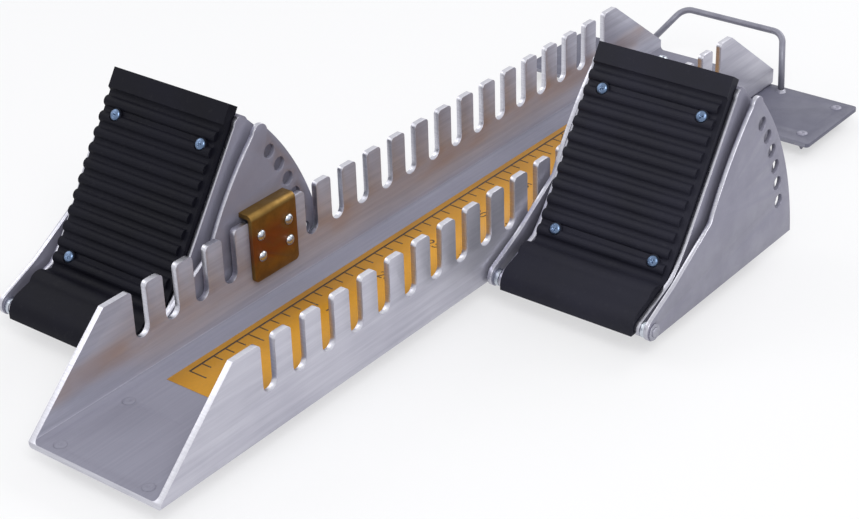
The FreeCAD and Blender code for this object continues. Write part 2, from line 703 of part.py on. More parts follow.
def build():
    tape = box(-TAPE_WIDTH / 2, TAPE_WIDTH / 2, FRONT + TAPE_START, FRONT + TAPE_START + TAPE_LENGTH,
               RAIL_WALL, RAIL_WALL + TAPE_THICK)
    nuts = [
        hex_nut(V(x, y, -PLATE_THICK), V(0, 0, -1), BOLT_NUT_FLATS, BOLT_NUT_H, BOLT_R)
        for x, y in mirrored_pairs(PLATE_BOLTS)
    ]
    nodes = {
        "rail_channel": rail_channel(),
        "scale_tape": tape,
        "front_spikes": Part.Compound(spikes(FRONT_SPIKES, RAIL_WALL, FRONT_SPIKE_DEPTH)),
        "anchor_plate": anchor_plate(),
        "rear_spikes": Part.Compound(spikes(REAR_SPIKES, 0, REAR_SPIKE_DEPTH)),
        "plate_bolts": Part.Compound([plate_bolt(x, y) for x, y in mirrored_pairs(PLATE_BOLTS)]),
        "plate_nuts": Part.Compound(nuts),
        "carry_handle": carry_handle(),
    }
    pieces = pedal()
    for label, side, slot in (("left", -1, LEFT_HOOK_SLOT), ("right", 1, RIGHT_HOOK_SLOT)):
        axle_y = hook_axle_y(slot)
        print(label, "axle y", axle_y)
        for name, shape in pieces.items():
            nodes[f"{label}_{name}"] = placed(shape, name, side, axle_y)
    return nodes


os.makedirs("parts", exist_ok=True)
for node, shape in build().items():
    print(node, "valid" if shape.isValid() else "NOT VALID", len(shape.Solids), round(shape.Volume))
    shape.exportStep(f"parts/{node}.step")
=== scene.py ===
"""Starting blocks: slotted aluminium rail with a printed scale, steel pedals with ribbed rubber."""
import math

import bmesh
import bpy
from mathutils import Matrix, Vector

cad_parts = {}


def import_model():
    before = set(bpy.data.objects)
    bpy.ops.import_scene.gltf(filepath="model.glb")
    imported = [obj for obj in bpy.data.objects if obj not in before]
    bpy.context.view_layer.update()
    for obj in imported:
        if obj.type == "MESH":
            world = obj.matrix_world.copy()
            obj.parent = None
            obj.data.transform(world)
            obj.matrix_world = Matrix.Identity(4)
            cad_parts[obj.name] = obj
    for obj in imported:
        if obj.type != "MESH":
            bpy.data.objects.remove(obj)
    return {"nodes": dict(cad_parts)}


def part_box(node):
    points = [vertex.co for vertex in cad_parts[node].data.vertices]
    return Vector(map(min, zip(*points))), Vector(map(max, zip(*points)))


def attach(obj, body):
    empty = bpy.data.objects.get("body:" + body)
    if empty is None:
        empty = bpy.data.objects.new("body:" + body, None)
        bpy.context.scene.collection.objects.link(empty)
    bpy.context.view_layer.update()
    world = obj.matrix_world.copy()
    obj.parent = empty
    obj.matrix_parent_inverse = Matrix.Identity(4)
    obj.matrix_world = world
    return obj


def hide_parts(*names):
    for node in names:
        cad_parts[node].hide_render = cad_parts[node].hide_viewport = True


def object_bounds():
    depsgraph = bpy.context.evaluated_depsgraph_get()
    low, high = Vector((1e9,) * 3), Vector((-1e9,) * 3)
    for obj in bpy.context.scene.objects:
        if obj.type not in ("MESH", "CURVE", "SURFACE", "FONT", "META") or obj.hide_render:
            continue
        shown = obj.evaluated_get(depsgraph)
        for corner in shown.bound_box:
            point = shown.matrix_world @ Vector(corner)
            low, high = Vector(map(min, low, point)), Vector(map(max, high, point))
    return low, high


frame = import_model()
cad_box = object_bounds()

MM = 0.001
SIDES = ("left", "right")

# The pedal's rubber, in millimetres from the toe axle: along the rail and up
AXLE_Z = 6.0
PAD_BOTTOM = Vector((27.5, 22.4))
PAD_TOP = Vector((100.0, 131.0))
PAD_THICK = 8.0
PAD_STRIP = 3.5
RIB_COUNT = 11
RIB_PITCH = 10.2
RIB_CREST = 7.0
RIB_HEIGHT = 2.6
RIB_START = 4.0
BAND_SLOPE = 1.5
PAD_TOE_NOSE = Vector((-8.0, 6.5))
PAD_TOE_ROLL = Vector((-5.3, 12.8))
PAD_TOE_SHOULDER = Vector((1.5, 17.0))
PAD_TOE_GROOVE = Vector((11.0, 20.0))
PAD_TOE_RIB = Vector((18.0, 24.6))
PAD_TOE_RIB_END = Vector((24.5, 22.0))
PAD_LIP_Z = 2.8
TOE_TUBE_R = 4.6
TOE_WRAP = (102, 224)
SEAT_R = 4.4
SCREW_HEAD_H = 2.2
FOOT_PLATE_X = (64.5, 160.5)

# Lock holes in the cheeks: distance from the axle, first angle, step and count
LOCK_ARC_R = 149.0
LOCK_FIRST_DEG = 9.0
LOCK_STEP_DEG = 5.5
LOCK_HOLES = 6
LOCK_HOLE_R = 4.7

# The handle's foot beside the anchor plate's end, and which way its leg leans
HANDLE_FOOT = Vector((62.0, 318.0))
HANDLE_LEAN = Vector((-19.0, 33.0))

# The printed scale: its own length and marks, in millimetres from the rail's front
TAPE_FIRST_MARK = 104.0
TAPE_MARKS = 46
TAPE_MARK_STEP = 10.0
TAPE_LINE_X = -27.0
TAPE_FAR_X = 27.0
TAPE_LONG_MARK = (13.0, 19.0)
TAPE_SHORT_MARK = (7.5, 23.0)
TAPE_NUMBER_SIZE = 11.0
TAPE_NUMBER_X = -3.0
TAPE_INK = 0.05
TAPE_INK_HALF = 0.5


def cad(node):
    return frame["nodes"][node]


def new_mesh(bm, name):
    """An object at the origin from a bmesh, with smooth faces."""
    bmesh.ops.recalc_face_normals(bm, faces=bm.faces)
    return plain_mesh(bm, name)


def plain_mesh(bm, name):
    for face in bm.faces:
        face.smooth = True
    data = bpy.data.meshes.new(name)
    bm.to_mesh(data)
    bm.free()
    piece = bpy.data.objects.new(name, data)
    bpy.context.scene.collection.objects.link(piece)
    return piece


def round_edges(piece, width_mm, segments=2, angle=32):
    """Rounds the sharp outward edges; inner corners stay crisp and flats stay flat."""
    bm = bmesh.new()
    bm.from_mesh(piece.data)
    weight = bm.edges.layers.float.new("bevel_weight_edge")
    for edge in bm.edges:
        if edge.is_manifold and edge.is_convex and edge.calc_face_angle() > math.radians(angle):
            edge[weight] = 1.0
    bm.to_mesh(piece.data)
    bm.free()
    bevel = piece.modifiers.new("edges", "BEVEL")
    bevel.width = width_mm * MM
    bevel.segments = segments
    bevel.limit_method = "WEIGHT"
    bevel.harden_normals = True
    return piece


def copy_of(node, name=None):
    """The CAD node's own shape as a merged mesh that can be bevelled."""
    bm = bmesh.new()
    bm.from_mesh(cad(node).data)
    bmesh.ops.remove_doubles(bm, verts=bm.verts, dist=2e-6)
    bmesh.ops.dissolve_limit(bm, angle_limit=math.radians(0.6), verts=bm.verts, edges=bm.edges)
    return plain_mesh(bm, name or node + "_finish")


def solids(node):
    """The points of each separate solid in a CAD node, always in the same order."""
    bm = bmesh.new()
    bm.from_mesh(cad(node).data)
    bmesh.ops.remove_doubles(bm, verts=bm.verts, dist=2e-6)
    left = set(bm.verts)
    groups = []
    while left:
        reached = {left.pop()}
        edge = list(reached)
        while edge:
            vert = edge.pop()
            for other in (e.other_vert(vert) for e in vert.link_edges):
                if other in left:
                    left.discard(other)
                    reached.add(other)
                    edge.append(other)
        groups.append([v.co.copy() for v in reached])
    bm.free()
    return sorted(groups, key=lambda points: [min(p[axis] for p in points) for axis in range(3)])


def line_of(points, axis):
    """The two ends, on its centre line, of a round solid that lies along an axis."""
    across = axis.orthogonal().normalized()
    other = axis.cross(across)
    middle = Vector()
    for way in (across, other):
        reach = [p.dot(way) for p in points]
        middle += way * (min(reach) + max(reach)) / 2
    reach = [p.dot(axis) for p in points]
    return middle + axis * min(reach), middle + axis * max(reach)


def turned_to(axis, at):
    """A matrix that stands a shape made along +Z on a point, pointing along an axis."""
    turn = axis.to_track_quat("Z", "Y").to_matrix().to_4x4()
    return Matrix.Translation(at) @ turn


def lathe(profile, steps=40):
    """A turned shape about Z from (radius, height) points in millimetres."""
    bm = bmesh.new()
    points = [bm.verts.new((r * MM, 0, z * MM)) for r, z in profile]
    edges = [bm.edges.new(pair) for pair in zip(points, points[1:])]
    bmesh.ops.spin(bm, geom=points + edges, cent=(0, 0, 0), axis=(0, 0, 1), angle=math.tau,
                   steps=steps, use_merge=True)
    bmesh.ops.remove_doubles(bm, verts=bm.verts, dist=1e-6)
    bmesh.ops.recalc_face_normals(bm, faces=bm.faces)
    return bm


def merge_into(target, source, matrix):
    """Adds a placed copy of one bmesh to another."""
    data = bpy.data.meshes.new("part")
    source.to_mesh(data)
    data.transform(matrix)
    target.from_mesh(data)
    bpy.data.meshes.remove(data)


def group_of(shape, placements, name):
    """One piece from a shape repeated at several placements."""
    bm = bmesh.new()
    for matrix in placements:
        merge_into(bm, shape, matrix)
    shape.free()
    return plain_mesh(bm, name)


def combine(piece, other, operation):
    """Applies a boolean between two pieces and drops the second one."""
    modifier = piece.modifiers.new("combine", "BOOLEAN")
    modifier.operation = operation
    modifier.solver = "EXACT"
    modifier.object = other
    bpy.context.view_layer.update()
    made = bpy.data.meshes.new_from_object(piece.evaluated_get(bpy.context.evaluated_depsgraph_get()))
    piece.modifiers.clear()
    piece.data = made
    bpy.data.objects.remove(other)
    return piece


def put(piece, body, nodes, slot, *materials):
    """Rides a piece on its body, lets it stand for its CAD nodes and gives it its finish."""
    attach(piece, body)
    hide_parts(*nodes)
    piece.data.materials.clear()
    for material in materials:
        piece.data.materials.append(material)
    return piece


# Materials

def effect_group(name, inputs, outputs):
    """A shader node group with named sockets, and its input and output nodes."""
    tree = bpy.data.node_groups.new(name, "ShaderNodeTree")
    for label, kind, value in inputs:
        socket = tree.interface.new_socket(name=label, in_out="INPUT", socket_type=kind)
        if value is not None:
            socket.default_value = value
    for label, kind in outputs:
        tree.interface.new_socket(name=label, in_out="OUTPUT", socket_type=kind)
    return tree, tree.nodes.new("NodeGroupInput"), tree.nodes.new("NodeGroupOutput")


def add_node(tree, kind, settings=None, **inputs):
    """A node with its settings, and its inputs given by name as values or as sockets."""
    node = tree.nodes.new(kind)
    for key, value in (settings or {}).items():
        setattr(node, key, value)
    for key, value in inputs.items():
        by_number = key[0] == "i" and key[1:].isdigit()
        socket = node.inputs[int(key[1:]) if by_number else key.replace("_", " ")]
        if isinstance(value, bpy.types.NodeSocket):
            tree.links.new(value, socket)
        else:
            socket.default_value = value
    return node


def math_of(tree, operation, first, second=0.5):
    return add_node(tree, "ShaderNodeMath", {"operation": operation}, i0=first, i1=second).outputs[0]


def mix_of(tree, factor, first, second):
    """Blends two colours."""
    node = add_node(tree, "ShaderNodeMix", {"data_type": "RGBA"})
    for socket, value in zip((node.inputs[0], node.inputs[6], node.inputs[7]), (factor, first, second)):
        if isinstance(value, bpy.types.NodeSocket):
            tree.links.new(value, socket)
        else:
            socket.default_value = value
    return node.outputs[2]


def range_of(tree, value, low, high, to_low=0.0, to_high=1.0):
    node = add_node(tree, "ShaderNodeMapRange", {"interpolation_type": "SMOOTHSTEP"}, Value=value)
    for label, amount in (("From Min", low), ("From Max", high), ("To Min", to_low), ("To Max", to_high)):
        node.inputs[label].default_value = amount
    return node.outputs[0]


def grain_group():
    """Drawn or brushed metal: streaks stretched along one axis, cloudy patches and fine scratches."""
    tree, entry, leave = effect_group(
        "drawn_grain",
        [("Vector", "NodeSocketVector", None), ("Stretch", "NodeSocketVector", (900, 12, 900)),
         ("Patch Scale", "NodeSocketFloat", 14.0)],
        [("Streak", "NodeSocketFloat"), ("Patch", "NodeSocketFloat"), ("Scratch", "NodeSocketFloat")])
    stretched = add_node(tree, "ShaderNodeVectorMath", {"operation": "MULTIPLY"},
                         i0=entry.outputs["Vector"], i1=entry.outputs["Stretch"]).outputs[0]
    streak = add_node(tree, "ShaderNodeTexNoise", Vector=stretched, Scale=1.0, Detail=4.0, Roughness=0.65)
    patch = add_node(tree, "ShaderNodeTexNoise", Vector=entry.outputs["Vector"],
                     Scale=entry.outputs["Patch Scale"], Detail=3.0, Roughness=0.5)
    fine = add_node(tree, "ShaderNodeVectorMath", {"operation": "SCALE"}, i0=stretched)
    fine.inputs["Scale"].default_value = 2.7
    scratch = add_node(tree, "ShaderNodeTexNoise", Vector=fine.outputs[0], Scale=1.0, Detail=2.0)
    tree.links.new(streak.outputs[0], leave.inputs["Streak"])
    tree.links.new(patch.outputs[0], leave.inputs["Patch"])
    tree.links.new(range_of(tree, scratch.outputs[0], 0.62, 0.75), leave.inputs["Scratch"])
    return tree


def speck_group():
    """Fine even speckle and faint dust for coated steel, rubber and print."""
    tree, entry, leave = effect_group(
        "speckle",
        [("Vector", "NodeSocketVector", None), ("Scale", "NodeSocketFloat", 900.0)],
        [("Grain", "NodeSocketFloat"), ("Dust", "NodeSocketFloat"), ("Cloud", "NodeSocketFloat")])
    grain = add_node(tree, "ShaderNodeTexNoise", Vector=entry.outputs["Vector"],
                     Scale=entry.outputs["Scale"], Detail=3.0, Roughness=0.6)
    dust = add_node(tree, "ShaderNodeTexNoise", Vector=entry.outputs["Vector"], Scale=240.0, Detail=4.0,
                    Roughness=0.7)
    cloud = add_node(tree, "ShaderNodeTexNoise", Vector=entry.outputs["Vector"], Scale=22.0, Detail=3.0)
    tree.links.new(grain.outputs[0], leave.inputs["Grain"])
    tree.links.new(range_of(tree, dust.outputs[0], 0.55, 0.8), leave.inputs["Dust"])
    tree.links.new(cloud.outputs[0], leave.inputs["Cloud"])
    return tree


DRAWN = grain_group()
SPECKLE = speck_group()


def new_material(name):
    material = bpy.data.materials.new(name)
    material.use_nodes = True
    tree = material.node_tree
    shader = tree.nodes["Principled BSDF"]
    place = tree.nodes.new("ShaderNodeTexCoord").outputs["Object"]
    return material, tree, shader, place


def use_group(tree, group, place, **values):
    node = tree.nodes.new("ShaderNodeGroup")
    node.node_tree = group
    tree.links.new(place, node.inputs["Vector"])
    for key, value in values.items():
        node.inputs[key.replace("_", " ")].default_value = value
    return node


def bump_from(tree, shader, height, strength, distance_mm):
    bump = add_node(tree, "ShaderNodeBump", Height=height, Strength=strength, Distance=distance_mm * MM)
    tree.links.new(bump.outputs[0], shader.inputs["Normal"])


def metal(name, light, dark, roughness, stretch, patch_scale=14.0, bump=0.25, metallic=1.0, tint_band=None, shine=0.5):
    """A drawn or ground metal whose streaks run along the axis with the small stretch.

    A tint band is (colour, height of its middle, its half height, reach across, strength), in patches: on the rail's
    inner flanges it is a painted reflection, on the bracket the plating's own tint."""
    material, tree, shader, place = new_material(name)
    grain = use_group(tree, DRAWN, place, Stretch=stretch, Patch_Scale=patch_scale)
    streak = range_of(tree, grain.outputs["Streak"], 0.3, 0.7)
    patch = range_of(tree, grain.outputs["Patch"], 0.3, 0.7)
    tone = math_of(tree, "ADD", math_of(tree, "MULTIPLY", streak, 0.55), math_of(tree, "MULTIPLY", patch, 0.45))
    colour = mix_of(tree, tone, (*dark, 1), (*light, 1))
    # A band of tint in patches; on the rail's inner flanges it is a painted reflection.
    if tint_band:
        tint, middle, half, reach, strength = tint_band
        across, along, height = add_node(tree, "ShaderNodeSeparateXYZ", Vector=place).outputs
        off = math_of(tree, "ABSOLUTE", math_of(tree, "SUBTRACT", height, middle * MM))
        band = range_of(tree, off, half * MM, half * MM * 0.3)
        near = math_of(tree, "LESS_THAN", math_of(tree, "ABSOLUTE", across), reach * MM)
        band = math_of(tree, "MULTIPLY", band, near)
        mask = math_of(tree, "MULTIPLY", band, range_of(tree, patch, 0.25, 0.85, strength * 0.3, strength))
        colour = mix_of(tree, mask, colour, (*tint, 1))
    tree.links.new(colour, shader.inputs["Base Color"])
    rough = range_of(tree, tone, 0.0, 1.0, roughness + 0.08, roughness - 0.06)
    tree.links.new(rough, shader.inputs["Roughness"])
    shader.inputs["Metallic"].default_value = metallic
    shader.inputs["Specular IOR Level"].default_value = shine
    height = math_of(tree, "SUBTRACT", streak, math_of(tree, "MULTIPLY", grain.outputs["Scratch"], 0.6))
    bump_from(tree, shader, height, bump, 0.05)
    return material


def coated(name, base, roughness, grain_scale=900.0, bump=0.2, dust=0.15, spread=0.12, shine=0.5):
    """A coated or moulded surface with fine speckle, faint clouds and a little dust."""
    material, tree, shader, place = new_material(name)
    speck = use_group(tree, SPECKLE, place, Scale=grain_scale)
    darker = tuple(c * (1 - spread) for c in base)
    lighter = tuple(min(1.0, c * (1 + spread)) for c in base)
    tone = math_of(tree, "ADD", math_of(tree, "MULTIPLY", speck.outputs["Cloud"], 0.7),
                   math_of(tree, "MULTIPLY", speck.outputs["Grain"], 0.3))
    colour = mix_of(tree, range_of(tree, tone, 0.35, 0.65), (*darker, 1), (*lighter, 1))
    dusty = mix_of(tree, math_of(tree, "MULTIPLY", speck.outputs["Dust"], dust), colour, (0.42, 0.41, 0.42, 1))
    tree.links.new(dusty, shader.inputs["Base Color"])
    tree.links.new(range_of(tree, tone, 0.3, 0.7, roughness - 0.05, roughness + 0.07), shader.inputs["Roughness"])
    shader.inputs["Specular IOR Level"].default_value = shine
    bump_from(tree, shader, speck.outputs["Grain"], bump, 0.06)
    return material


# A painted brown-orange reflection, in patches, low on the rail's inner flange sides.
RAIL_PAINTED_REFLECTION = ((0.34, 0.22, 0.16), 27.0, 13.0, 48.0, 0.5)
RAIL_FACE = metal("rail_mill_finish", (0.55, 0.545, 0.61), (0.41, 0.405, 0.475), 0.48, (700, 9, 260), metallic=0.7)
# The inner flange sides: painted shade inside the channel, darker than the outer sides, plus the painted reflection
# band.
RAIL_INSIDE_SHADE_AND_REFLECTION = metal("rail_inside_painted_shade_and_reflection", (0.50, 0.50, 0.58), (0.34, 0.34, 0.41), 0.5, (700, 9, 260), metallic=0.6,
                    tint_band=RAIL_PAINTED_REFLECTION)
# The channel floor is painted darker than the flanges, as shade between them.
RAIL_FLOOR_SHADED = metal("rail_floor_painted_shade", (0.28, 0.277, 0.335), (0.24, 0.238, 0.29), 0.7, (500, 9, 260),
                   metallic=0.0, bump=0.08, shine=0.2)
RAIL_CUT = metal("rail_sawn_edge", (0.66, 0.66, 0.72), (0.50, 0.50, 0.56), 0.34, (60, 900, 900), bump=0.35)
CHEEK_FACE = metal("cheek_satin_steel", (0.275, 0.27, 0.335), (0.24, 0.235, 0.295), 0.46, (160, 60, 60),
                   bump=0.1, metallic=0.35)
CHEEK_CUT = metal("cheek_bright_edge", (0.56, 0.56, 0.62), (0.42, 0.42, 0.48), 0.32, (50, 700, 700))
PLATE_FACE = metal("plate_grey_steel", (0.125, 0.125, 0.172), (0.11, 0.11, 0.152), 0.55, (60, 50, 60),
                   bump=0.06, metallic=0.1)
HANDLE_FACE = metal("handle_satin_steel", (0.27, 0.27, 0.32), (0.21, 0.21, 0.26), 0.48, (60, 60, 60), 60.0,
                    bump=0.08, metallic=0.4)
ZINC = metal("zinc_plate", (0.66, 0.70, 0.76), (0.45, 0.49, 0.56), 0.25, (500, 500, 500), 120.0)
DULL_ZINC = metal("dull_zinc_plate", (0.40, 0.40, 0.46), (0.28, 0.28, 0.33), 0.42, (400, 400, 400), 120.0,
                  metallic=0.7)
BLUE_ZINC = metal("blue_zinc_plate", (0.17, 0.24, 0.37), (0.08, 0.125, 0.21), 0.26, (500, 500, 500), 160.0,
                  metallic=0.9)
GOLD = metal("yellow_zinc_plate", (0.30, 0.185, 0.055), (0.20, 0.115, 0.033), 0.46, (60, 60, 60), 60.0, bump=0.06,
             tint_band=((0.24, 0.072, 0.035), 43.0, 17.0, 60.0, 0.75))
# Lit and shaded copies of one rubber: the left pad's is painted darker as shade, the right pad's is painted lighter as
# light.
RUBBER_LIT_AND_SHADED = {
    "left": coated("ribbed_rubber_left_painted_shade", (0.006, 0.006, 0.0105), 0.55, grain_scale=1300.0, bump=0.3, dust=0.02,
                   spread=0.2, shine=0.1),
    "right": coated("ribbed_rubber_right_painted_light", (0.0105, 0.0105, 0.0185), 0.6, grain_scale=1300.0, bump=0.3, dust=0.02,
                    spread=0.2, shine=0.22),
}
TAPE = coated("scale_film", (0.70, 0.33, 0.022), 0.5, grain_scale=500.0, bump=0.05, dust=0.03, spread=0.07)
INK = coated("scale_ink", (0.045, 0.022, 0.008), 0.5, grain_scale=800.0, bump=0.05, dust=0.0)
SPRING = metal("spring_wire", (0.62, 0.62, 0.64), (0.45, 0.45, 0.47), 0.25, (900, 900, 900))


# Sheet parts that keep the CAD shape

def sheet_piece(node, body, slot, face, cut, edge_mm, keep_flat=None, others=()):
    """A copy of a sheet part with rounded edges; faces cut across the sheet get the bright finish.

    The others are (test, finish) pairs for faces that differ from the rest."""
    piece = copy_of(node)
    put(piece, body, [node], slot, face, cut, *(finish for test, finish in others))
    for polygon in piece.data.polygons:
        across = abs(polygon.normal.x) < 0.3
        if across and not (keep_flat and keep_flat(polygon)):
            polygon.material_index = 1
            continue
        for index, (test, finish) in enumerate(others):
            if test(polygon):
                polygon.material_index = 2 + index
    return round_edges(piece, edge_mm)


def rail_flat(polygon):
    """The channel's floor and its bends, which aren't cut edges."""
    return abs(polygon.normal.y) < 0.05 and polygon.center.z < 8 * MM


def rail_top_face(polygon):
    return polygon.normal.z > 0.1 and polygon.center.z < 8 * MM


def rail_inner_face(polygon):
    """The flanges' sides that look into the channel, which are painted darker than the outer ones as shade inside the
    channel.
    """
    return polygon.normal.x * polygon.center.x < 0 and abs(polygon.normal.x) > 0.3 and polygon.center.z > 6 * MM


def plate_flat(polygon):
    return abs(polygon.normal.z) > 0.9


# The channel's floor and the inner flange sides carry painted shade; the inner sides also carry a painted reflection.
sheet_piece("rail_channel", "rail", "rail", RAIL_FACE, RAIL_CUT, 0.35, rail_flat,
            ((rail_top_face, RAIL_FLOOR_SHADED), (rail_inner_face, RAIL_INSIDE_SHADE_AND_REFLECTION)))
sheet_piece("anchor_plate", "rail", "anchor_steel", PLATE_FACE, HANDLE_FACE, 0.3, plate_flat)


# Scale tape with its printed lines

def slab(bm, x0, x1, y0, y1, z0, z1):
    """A box in millimetres, added to a bmesh."""
    made = bmesh.ops.create_cube(bm, size=1.0)["verts"]
    size = Vector((x1 - x0, y1 - y0, z1 - z0)) * MM
    middle = Vector((x1 + x0, y1 + y0, z1 + z0)) * MM / 2
    bmesh.ops.scale(bm, verts=made, vec=size)
    bmesh.ops.translate(bm, verts=made, vec=middle)
    return made


def tape():
    piece = copy_of("scale_tape")
    put(piece, "rail", ["scale_tape"], "tape", TAPE)
    low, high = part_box("scale_tape")
    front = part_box("rail_channel")[0].y
    base = high.z / MM
    top = base + TAPE_INK
    start, end = low.y / MM, high.y / MM
    bm = bmesh.new()
    line = TAPE_LINE_X
    slab(bm, line - 0.7, line + 0.7, front / MM + TAPE_FIRST_MARK - TAPE_INK_HALF, end - 3, base, top)
    for mark in range(TAPE_MARKS):
        y = front / MM + TAPE_FIRST_MARK + TAPE_MARK_STEP * mark
        if y > end - 4:
            break
        reach, far_start = TAPE_LONG_MARK if mark % 5 == 0 else TAPE_SHORT_MARK
        slab(bm, line + 0.6, line + reach, y - TAPE_INK_HALF, y + TAPE_INK_HALF, base, top)
        slab(bm, far_start, TAPE_FAR_X, y - TAPE_INK_HALF, y + TAPE_INK_HALF, base, top)
    ink = new_mesh(bm, "scale_marks")
    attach(ink, "rail")
    ink.data.materials.append(INK)
    numbers(front, end * MM, high.z)


def numbers(front, end, base):
    """Plain numbers beside the long marks, one piece."""
    bm = bmesh.new()
    for step in range(TAPE_MARKS // 5 + 1):
        y = front + (TAPE_FIRST_MARK + 5 * TAPE_MARK_STEP * step) * MM
        if y > end - 6 * MM:
            break
        curve = bpy.data.curves.new("number", "FONT")
        curve.body = str(5 * (step + 1))
        curve.size = TAPE_NUMBER_SIZE * MM
        curve.align_x = "CENTER"
        curve.align_y = "CENTER"
        curve.extrude = TAPE_INK * MM / 2
        curve.resolution_u = 3
        holder = bpy.data.objects.new("number", curve)
        bpy.context.scene.collection.objects.link(holder)
        bpy.context.view_layer.update()
        data = bpy.data.meshes.new_from_object(holder.evaluated_get(bpy.context.evaluated_depsgraph_get()))
        data.transform(Matrix.Translation((TAPE_NUMBER_X * MM, y + 1.0 * MM, base + TAPE_INK * MM / 2)))
        bm.from_mesh(data)
        bpy.data.objects.remove(holder)
        bpy.data.meshes.remove(data)
    piece = plain_mesh(bm, "scale_numbers")
    for polygon in piece.data.polygons:
        polygon.use_smooth = False
    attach(piece, "rail")
    piece.data.materials.append(INK)


tape()


# Turned fasteners, in millimetres: how far the spikes reach below the rail's underside

RAIL_WALL = 4.0
FRONT_SPIKE_DEPTH = 8.0
REAR_SPIKE_DEPTH = 12.5
BOLT_HEAD_H = 2.6


def spike_shape(depth, seat):
    """Domed head, shank and cone tip; z = 0 is the seat of the head."""
    reach = depth + seat
    return lathe([(0, 0.3), (0.9, 0.35), (1.3, 0.7), (2.4, 0.75), (3.4, 0.5), (4.0, 0.1), (4.0, 0), (3.0, 0),
                  (3.0, 6.0 - reach), (2.2, 3.6 - reach), (0.9, 0.6 - reach), (0.5, 0.1 - reach), (0, -reach)])


def spikes(node, depth, seat, finish):
    spots = [line_of(points, Vector((0, 0, 1)))[0] for points in solids(node)]
    placements = [Matrix.Translation((p.x, p.y, seat * MM)) for p in spots]
    piece = group_of(spike_shape(depth, seat), placements, node + "_turned")
    return put(piece, "rail", [node], "plated_steel", finish)


def bolt_shape():
    """Low domed head with a round socket."""
    return lathe([(0, 1.2), (1.5, 1.2), (1.5, 2.55), (2.6, BOLT_HEAD_H), (3.7, 2.1), (4.4, 1.2), (4.5, 0.3), (4.4, 0),
                  (2.5, 0), (2.5, -10.2), (2.2, -10.5), (0, -10.5)], 36)


def bolts():
    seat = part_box("plate_bolts")[1].z - BOLT_HEAD_H * MM
    spots = [line_of(points, Vector((0, 0, 1)))[0] for points in solids("plate_bolts")]
    piece = group_of(bolt_shape(), [Matrix.Translation((p.x, p.y, seat)) for p in spots], "plate_bolts_turned")
    put(piece, "rail", ["plate_bolts"], "plated_steel", ZINC)
    nut = copy_of("plate_nuts")
    put(nut, "rail", ["plate_nuts"], "plated_steel", ZINC)
    round_edges(nut, 0.3)


# The front spike heads on the channel floor share its painted shade.
spikes("front_spikes", FRONT_SPIKE_DEPTH, RAIL_WALL, RAIL_FLOOR_SHADED)
spikes("rear_spikes", REAR_SPIKE_DEPTH, 0.0, CHEEK_FACE)
bolts()


# Carrying handle

def handle():
    """The bent rod, with a low weld bead around each foot, drawn out the way that the leg leans."""
    piece = copy_of("carry_handle")
    put(piece, "rail", ["carry_handle"], "anchor_steel", HANDLE_FACE)
    bead = lathe([(1.9, 1.7), (2.5, 1.25), (3.0, 0.7), (3.4, 0.3), (3.7, 0.0)], 28)
    for vert in bead.verts:
        around = math.atan2(vert.co.y, vert.co.x)
        vert.co.xy *= 1 + 0.05 * math.sin(5 * around) * (vert.co.z < 1.0 * MM)
    placements = []
    for side in (-1, 1):
        foot = Vector((side * HANDLE_FOOT.x, HANDLE_FOOT.y, 0)) * MM
        lean = Matrix.Rotation(math.atan2(HANDLE_LEAN.y, side * HANDLE_LEAN.x), 4, "Z")
        placements.append(Matrix.Translation(foot) @ lean @ Matrix.Diagonal((1.4, 1, 1, 1)))
    welds = group_of(bead, placements, "handle_welds")
    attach(welds, "rail")
    welds.data.materials.append(DULL_ZINC)


handle()


# Pedals

PAD_RUN = (PAD_TOP - PAD_BOTTOM).normalized()
PAD_OUT = Vector((-PAD_RUN.y, PAD_RUN.x))


def on_front(run, height):
    """A point on the pad's front by distance up from its foot and height from the crest line."""
    return PAD_BOTTOM + PAD_RUN * run + PAD_OUT * height


def arc_points(start, middle, end, steps):
    """Points on the arc through three points, without its start."""
    ax, ay = start
    bx, by = middle
    cx, cy = end
    d = 2 * (ax * (by - cy) + bx * (cy - ay) + cx * (ay - by))
    ux = ((ax * ax + ay * ay) * (by - cy) + (bx * bx + by * by) * (cy - ay) + (cx * cx + cy * cy) * (ay - by)) / d
    uy = ((ax * ax + ay * ay) * (cx - bx) + (bx * bx + by * by) * (ax - cx) + (cx * cx + cy * cy) * (bx - ax)) / d
    radius = math.hypot(ax - ux, ay - uy)
    turns = [math.atan2(p[1] - uy, p[0] - ux) for p in (start, middle, end)]
    while turns[1] - turns[0] > math.pi:
        turns[1] -= math.tau
    while turns[1] - turns[0] < -math.pi:
        turns[1] += math.tau
    while turns[2] - turns[1] > math.pi:
        turns[2] -= math.tau
    while turns[2] - turns[1] < -math.pi:
        turns[2] += math.tau
    sweep = turns[2] - turns[0]
    return [Vector((ux + radius * math.cos(turns[0] + sweep * i / steps),
                    uy + radius * math.sin(turns[0] + sweep * i / steps))) for i in range(1, steps + 1)]


